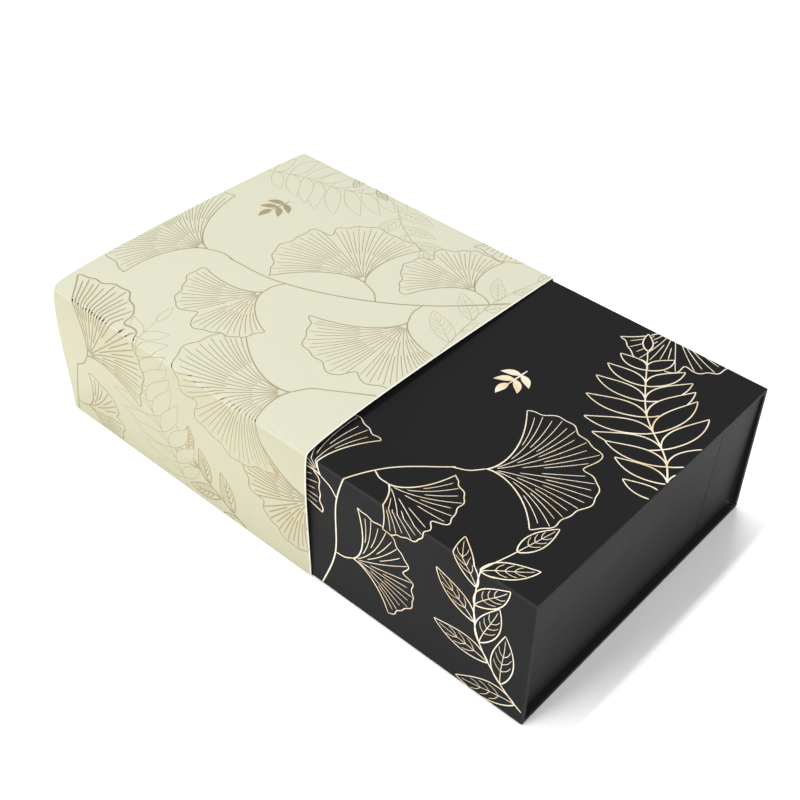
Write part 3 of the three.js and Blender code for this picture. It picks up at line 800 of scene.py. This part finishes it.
def cover_sheet(settings):
    """The cover's flat lengths in millimetres, and the function that folds a point of it over the box."""
    radius = settings.fold_radius
    height, width = BOX_HIGH[2] - BOX_LOW[2], BOX_HIGH[1] - BOX_LOW[1]
    arc = radius * math.pi / 2
    runs = [height - radius, arc, width - 2 * radius, arc, height - radius - settings.flap_foot]
    marks = np.concatenate([[0], np.cumsum(runs)])

    def lay(u, v, lift):
        x, v = BOX_LOW[0] + u * MM, v * MM
        near, far, top = BOX_LOW[1] + radius, BOX_HIGH[1] - radius, BOX_HIGH[2] - radius
        first, second = (v - marks[1]) / radius, (v - marks[3]) / radius
        reach = radius + lift
        panels = [v < mark for mark in marks[1:5]]
        y = np.select(panels, [
            near - reach,
            near - reach * np.cos(first),
            near + v - marks[2],
            far + reach * np.sin(second),
        ], far + reach)
        z = np.select(panels, [
            BOX_LOW[2] + v,
            top + reach * np.sin(first),
            top + reach,
            top + reach * np.cos(second),
        ], top - (v - marks[4]))
        return np.column_stack([x, y, z])

    return marks / MM, lay


def sleeve_block(settings):
    """The corners of the sleeve as a plain block, without its bows."""
    wide = (BOX_HIGH[1] - BOX_LOW[1]) / 2 + settings.side_gap + settings.card
    tall = BOX_HIGH[2] + settings.top_gap + settings.card
    return np.array([SLEEVE_LOW[0], -wide, 0.0]), np.array([SLEEVE_HIGH[0], wide, tall])


def sleeve_sheet(settings):
    """The sleeve's flat lengths in millimetres, and the function that folds a point of it.

    V starts at the near foot and runs up the near side, over the top, down the far side and back along the
    bottom. Lift is 0 on the printed face, and less inside the card.
    """
    radius = settings.fold_radius
    length = SLEEVE_HIGH[0] - SLEEVE_LOW[0]
    wide, tall = sleeve_block(settings)[1][1:]
    side, top, arc = tall - 2 * radius, 2 * (wide - radius), radius * math.pi / 2
    marks = np.concatenate([[0], np.cumsum([side, arc, top, arc, side, arc, top, arc])])

    def bow(panel, along, share):
        """How far a panel stands out: a sine whose peak lies off its middle."""
        rise, peak, power = (
            pair[0] + (pair[1] - pair[0]) * along
            for pair in (getattr(settings, f"{panel}_{what}") for what in ("bow", "peak", "power"))
        )
        skew = math.log(1 / 2) / np.log(peak)
        return rise * np.clip(np.sin(np.pi * share**skew), 0, 1) ** power

    def lay(u, v, lift):
        u, v = u * MM, v * MM
        along = np.clip(u / length, 0, 1)
        turn = [(v - marks[k]) / radius for k in (1, 3, 5, 7)]
        reach = radius + lift
        up_near, up_far = np.clip(v / side, 0, 1), np.clip((marks[5] - v) / side, 0, 1)
        across = np.clip((v - marks[2]) / top, 0, 1)
        panels = [v < mark for mark in marks[1:8]]
        inner, high = wide - radius, tall - radius
        y = np.select(panels, [
            -(wide + bow("side", along, up_near) + lift),
            -inner - reach * np.cos(turn[0]),
            -inner + top * across,
            inner + reach * np.sin(turn[1]),
            wide + bow("side", along, up_far) + lift,
            inner + reach * np.cos(turn[2]),
            inner - (v - marks[6]),
        ], -inner - reach * np.sin(turn[3]))
        z = np.select(panels, [
            radius + side * up_near,
            high + reach * np.sin(turn[0]),
            tall + lift + bow("top", along, across),
            high + reach * np.cos(turn[1]),
            radius + side * up_far,
            radius - reach * np.sin(turn[2]),
            0 - lift,
        ], radius - reach * np.cos(turn[3]))
        return np.column_stack([SLEEVE_LOW[0] + u, y, z])

    return marks / MM, lay


def mesh_object(name, places, polygons):
    """Adds an object made of places and polygons to the scene."""
    mesh = bpy.data.meshes.new(name)
    mesh.from_pydata([tuple(p) for p in places], [], polygons)
    mesh.update()
    piece = bpy.data.objects.new(name, mesh)
    bpy.context.scene.collection.objects.link(piece)
    return piece


def refined(points, widths, folds):
    """Adds points where a stroke runs over a fold, so that it bends with the sheet."""
    out_points, out_widths = [points[:1]], [widths[:1]]
    for a, b, wa, wb in zip(points[:-1], points[1:], widths[:-1], widths[1:]):
        low, high = sorted((a[1], b[1]))
        near = any(low < fold[1] + FOLD_MARGIN and high > fold[0] - FOLD_MARGIN for fold in folds)
        count = max(1, int(math.ceil(np.linalg.norm(b - a) / FOLD_STEP))) if near else 1
        share = np.arange(1, count + 1)[:, None] / count
        out_points.append(a + (b - a) * share)
        out_widths.append(wa + (wb - wa) * share[:, 0])
    return np.vstack(out_points), np.concatenate(out_widths)


def ribbons(name, strokes, lay, folds, face):
    """Thin closed strips along the strokes, laid on a folded sheet, with their faces at least at face.

    Strips that cross each other stand at slightly different heights, so that no two faces lie in one place.
    """
    places, polygons = [], []
    total, depth = 0, STRIP_DEPTH * face
    for number, (points, widths, _ink) in enumerate(strokes):
        top = face * (1 + HEIGHT_RISE * (number % HEIGHTS) / HEIGHTS)
        points, widths = refined(points, widths, folds)
        widths[[0, -1]] *= TIP_WIDTH
        low, high = points[:, 1].min() - RAIL_MARGIN, points[:, 1].max() + RAIL_MARGIN
        rails = FOLD_RAILS if any(low < fold[1] and high > fold[0] for fold in folds) else FLAT_RAILS
        along = np.gradient(points, axis=0)
        along /= np.maximum(np.linalg.norm(along, axis=1), 1e-9)[:, None]
        aside = np.column_stack([-along[:, 1], along[:, 0]])
        shares = np.linspace(0.5, -0.5, rails)
        order = [(share, top) for share in shares] + [(share, top - depth) for share in shares[::-1]]
        ring = len(order)
        block = np.empty((len(points), ring, 3))
        for k, (share, lift) in enumerate(order):
            at = points + aside * (widths * share)[:, None]
            block[:, k] = lay(at[:, 0], at[:, 1], lift)
        places.append(block.reshape(-1, 3))
        for i in range(len(points) - 1):
            a, b = total + i * ring, total + (i + 1) * ring
            polygons += [(a + k, a + (k + 1) % ring, b + (k + 1) % ring, b + k) for k in range(ring)]
        end = total + (len(points) - 1) * ring
        polygons.append(tuple(total + k for k in range(ring))[::-1])
        polygons.append(tuple(end + k for k in range(ring)))
        total += len(points) * ring
    return mesh_object(name, np.vstack(places), polygons)


def sleeve_samples(marks, settings):
    """Places round the sheet, close together at the folds, with the depth of the inner face at each."""

    def bowed(first, last, count):
        return first + (last - first) * (1 - np.cos(np.linspace(0, np.pi, count, endpoint=False))) / 2

    def arc(first, last):
        return np.linspace(first, last, FOLD_PLACES, endpoint=False)

    card, flap, step = settings.card, settings.glue_flap / MM, settings.flap_step / MM
    flap_top = marks[5] - flap
    runs = [
        bowed(marks[0], marks[1], SIDE_PLACES),
        arc(marks[1], marks[2]),
        bowed(marks[2], marks[3], TOP_PLACES),
        arc(marks[3], marks[4]),
        bowed(marks[4], flap_top - step, SIDE_PLACES - FOLD_PLACES),
        np.linspace(flap_top, marks[5] - step, FOLD_PLACES),
        arc(marks[5], marks[6]),
        bowed(marks[6], marks[7], BOTTOM_PLACES),
        arc(marks[7], marks[8]),
    ]
    v = np.concatenate(runs)
    depth = np.where((v >= flap_top) & (v <= marks[5] - step), 2 * card, card)
    return v, depth


def folded_sleeve(settings):
    """One closed sheet of card: the printed face, the bare inside with its glue flap, and the cut edges."""
    marks, lay = sleeve_sheet(settings)
    v, depth = sleeve_samples(marks, settings)
    length = (SLEEVE_HIGH[0] - SLEEVE_LOW[0]) / MM
    stations = np.linspace(0, length, SLEEVE_STATIONS)
    count = len(v)
    places = []
    for u in stations:
        places.append(lay(np.full(count, u), v, 0.0))
        places.append(lay(np.full(count, u), v, -depth))
    polygons, slots = [], []
    for s in range(len(stations) - 1):
        outer, inner = 2 * s * count, (2 * s + 1) * count
        for k in range(count):
            n = (k + 1) % count
            polygons.append((outer + k, outer + n, outer + 2 * count + n, outer + 2 * count + k))
            polygons.append((inner + k, inner + 2 * count + k, inner + 2 * count + n, inner + n))
            slots += [0, 1]
    last = 2 * (len(stations) - 1) * count
    for k in range(count):
        n = (k + 1) % count
        polygons.append((k, count + k, count + n, n))
        polygons.append((last + k, last + n, last + count + n, last + count + k))
        slots += [2, 2]
    piece = mesh_object("sleeve_card", np.vstack(places), polygons)
    piece.data.polygons.foreach_set("material_index", slots)
    piece.data.shade_smooth()
    piece.data.set_sharp_from_angle(angle=SHARP_EDGE)
    return piece


# Operators, one for each group of pieces

class GIFTBOX_OT_papers(bpy.types.Operator):
    """Gives the cover and the tray their black papers"""

    bl_idname = "giftbox.papers"
    bl_label = "Cover and Tray Papers"

    def execute(self, context):
        cover = context.scene.giftbox_cover
        colours = cover.paper_colour, cover.rubbed_and_highlit_colour
        tray_low, tray_high = (np.array(corner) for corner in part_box("tray_wrap"))
        seam = BOX_HIGH[1] - cover.tray_lap
        black = soft_touch_laminate("black_soft_touch_laminate", *colours, BOX_LOW, BOX_HIGH)
        tray = soft_touch_laminate("black_tray_laminate", *colours, tray_low, tray_high, seam)
        give(black, "cover_wrap")
        give(tray, "tray_wrap")
        give(lining_paper("black_lining_paper", paint("#161616")), "cover_liner", "tray_liner")
        return {"FINISHED"}


class GIFTBOX_OT_boards(bpy.types.Operator):
    """Gives the boards, corner tapes, magnets and steel discs their materials"""

    bl_idname = "giftbox.boards"
    bl_label = "Boards, Tapes and Magnets"

    def execute(self, context):
        boards = [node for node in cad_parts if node.endswith("_board")]
        stays = [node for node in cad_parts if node.startswith("corner_stay")]
        give(solid_board("grey_board", paint("#8E887C")), *boards)
        give(solid_board("kraft_corner_tape", paint("#B79B6E")), *stays)
        nickel = bright_metal("nickel_plated_magnet", paint("#C6C8CC"), 0.2)
        steel = bright_metal("bright_steel_disc", paint("#A9ABAD"), 0.35)
        give(nickel, "flap_magnet_left", "flap_magnet_right")
        give(steel, "tray_disc_left", "tray_disc_right")
        return {"FINISHED"}


class GIFTBOX_OT_cover_foil(bpy.types.Operator):
    """Stamps the foil lines over the spine, the lid and the flap"""

    bl_idname = "giftbox.cover_foil"
    bl_label = "Foil on the Cover"

    def execute(self, context):
        cover = context.scene.giftbox_cover
        marks, lay = cover_sheet(cover)
        edge = cover.edge_rounding / MM + COVER_MARGIN
        high = ((BOX_HIGH[0] - BOX_LOW[0]) / MM - edge, marks[5] - edge)
        strokes = cover_artwork(cover, (edge, edge), high)
        folds = [(marks[1], marks[2]), (marks[3], marks[4])]
        foil = ribbons("cover_foil", strokes, lay, folds, cover.foil_lift)
        foil.data.materials.append(stamped_foil("champagne_stamped_foil", cover.foil_colour))
        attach(foil, "box")
        return {"FINISHED"}


class GIFTBOX_OT_sleeve(bpy.types.Operator):
    """Folds the sleeve from its card"""

    bl_idname = "giftbox.sleeve"
    bl_label = "Sleeve"

    def execute(self, context):
        settings = context.scene.giftbox_sleeve
        piece = folded_sleeve(settings)
        piece.data.materials.append(coated_card("ivory_coated_card", settings, *sleeve_block(settings)))
        piece.data.materials.append(bare_card("uncoated_card_inside", settings.inside_colour))
        piece.data.materials.append(bare_card("white_card_core", settings.core_colour))
        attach(piece, "sleeve")
        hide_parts("sleeve")
        return {"FINISHED"}


class GIFTBOX_OT_sleeve_print(bpy.types.Operator):
    """Prints the bronze and the tonal lines on the sleeve"""

    bl_idname = "giftbox.sleeve_print"
    bl_label = "Print on the Sleeve"

    def execute(self, context):
        settings = context.scene.giftbox_sleeve
        marks, lay = sleeve_sheet(settings)
        rim = settings.bare_rim / MM
        high = ((SLEEVE_HIGH[0] - SLEEVE_LOW[0]) / MM - rim, marks[5])
        strokes = sleeve_artwork(settings, (rim, SLEEVE_MARGIN), high)
        folds = [(marks[1], marks[2]), (marks[3], marks[4])]
        block = sleeve_block(settings)
        bronze = settings.bronze_colour, settings.bronze_warm
        tonal = settings.tonal_colour, settings.tonal_warm
        inks = {
            "bronze": printed_ink("bronze_ink", *bronze, *block, metallic=0.2, roughness=0.42, cracked=0.9),
            "tonal": printed_ink("pale_olive_ink", *tonal, *block, metallic=0.0, roughness=0.6, cracked=0.2),
        }
        for ink, material in inks.items():
            chosen = [line for line in strokes if line[2] == ink]
            piece = ribbons("sleeve_print_" + ink, chosen, lay, folds, settings.ink_lift)
            piece.data.materials.append(material)
            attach(piece, "sleeve")
        return {"FINISHED"}


class GIFTBOX_OT_stage(bpy.types.Operator):
    """Sets the floor, the lights and the camera"""

    bl_idname = "giftbox.stage"
    bl_label = "Floor, Lights and Camera"

    def execute(self, context):
        stage = context.scene.giftbox_stage
        floor = self.lay_floor(stage)
        self.hang_lights(context.scene, stage, floor)
        self.place_camera(context.scene, stage)
        context.scene.view_settings.view_transform = "Standard"
        return {"FINISHED"}

    def lay_floor(self, stage):
        half = stage.floor_size / 2
        corners = [(-half, -half, 0), (half, -half, 0), (half, half, 0), (-half, half, 0)]
        floor = mesh_object("studio_floor", corners, [(0, 1, 2, 3)])
        material, add, place = new_material("pale_studio_paper")
        # Paper on a studio floor, with clouds so faint that they only keep it from looking flat
        cloud = add("TexNoise", {"Vector": place, "Scale": 3.0, "Detail": 2.0})
        pale = stage.floor_colour
        tones = {"Factor": cloud, FIRST: shade(pale), SECOND: shade(pale, 0.985)}
        base = add("Mix", tones, data_type="RGBA")
        floor.data.materials.append(finished(material, add, {"Base Color": base, "Roughness": 0.85}))
        floor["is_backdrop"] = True
        return floor

    def hang_lights(self, scene, stage, floor):
        world = bpy.data.worlds.new("studio_air")
        world.use_nodes = True
        world.node_tree.nodes.clear()
        add = partial(add_node, world.node_tree)
        direction = add("TexCoord").outputs["Generated"]
        facing = add("VectorMath", {0: direction, 1: BRIGHT_WALL}, operation="DOT_PRODUCT")
        spread = {
            "Value": facing, "From Min": -0.45, "From Max": 0.75,
            "To Min": stage.dim_wall, "To Max": stage.bright_wall,
        }
        strength = add("MapRange", spread, interpolation_type="SMOOTHSTEP")
        air = add("Background", {"Color": (1, 1, 1, 1), "Strength": strength})
        add("OutputWorld", {"Surface": air})
        scene.world = world
        self.hang_softbox(scene, stage, "overhead_softbox", stage.softbox_power)
        # The floor has a lamp of its own, as a studio lights its backdrop to white
        only_floor = bpy.data.collections.new("lit_by_the_floor_softbox")
        only_floor.objects.link(floor)
        lamp = self.hang_softbox(scene, stage, "floor_softbox", stage.floor_power)
        lamp.light_linking.receiver_collection = only_floor

    def hang_softbox(self, scene, stage, name, power):
        light = bpy.data.lights.new(name, "AREA")
        light.shape = "RECTANGLE"
        light.size, light.size_y = stage.softbox_width, stage.softbox_length
        light.energy = power
        lamp = bpy.data.objects.new(name, light)
        lamp.location = stage.softbox_place
        scene.collection.objects.link(lamp)
        return lamp

    def place_camera(self, scene, stage):
        lens = bpy.data.cameras.new("photo_camera")
        lens.lens = stage.lens
        lens.clip_start = 0.01
        camera = bpy.data.objects.new("photo_camera", lens)
        camera.location = stage.camera_place
        camera.rotation_euler = stage.camera_turn
        scene.collection.objects.link(camera)
        scene.camera = camera


OPERATORS = (
    GIFTBOX_OT_stage,
    GIFTBOX_OT_papers,
    GIFTBOX_OT_boards,
    GIFTBOX_OT_sleeve,
    GIFTBOX_OT_cover_foil,
    GIFTBOX_OT_sleeve_print,
)
SETTINGS = {"giftbox_cover": GiftBoxCover, "giftbox_sleeve": GiftBoxSleeve, "giftbox_stage": GiftBoxStage}


class GIFTBOX_PT_sidebar(bpy.types.Panel):
    """Lists the sizes, the colours and the steps"""

    bl_label = "Gift Box"
    bl_idname = "GIFTBOX_PT_sidebar"
    bl_space_type = "VIEW_3D"
    bl_region_type = "UI"
    bl_category = "Gift Box"

    def draw(self, context):
        for name, group in SETTINGS.items():
            box = self.layout.box()
            for key in group.__annotations__:
                box.prop(getattr(context.scene, name), key)
        for operator in OPERATORS:
            self.layout.operator(operator.bl_idname)


def register():
    for group in SETTINGS.values():
        bpy.utils.register_class(group)
    for name, group in SETTINGS.items():
        setattr(bpy.types.Scene, name, PointerProperty(type=group))
    for cls in (*OPERATORS, GIFTBOX_PT_sidebar):
        bpy.utils.register_class(cls)


def unregister():
    for cls in (GIFTBOX_PT_sidebar, *reversed(OPERATORS)):
        bpy.utils.unregister_class(cls)
    for name in SETTINGS:
        delattr(bpy.types.Scene, name)
    for group in SETTINGS.values():
        bpy.utils.unregister_class(group)


def main():
    register()
    for operator in OPERATORS:
        step = operator.bl_idname.split(".")[1]
        getattr(bpy.ops.giftbox, step)()
    bounds = {"cad": CAD_BOUNDS, "visual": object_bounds()}
    sizes = {kind: [list(corner) for corner in corners] for kind, corners in bounds.items()}


if __name__ == "__main__":
    main()
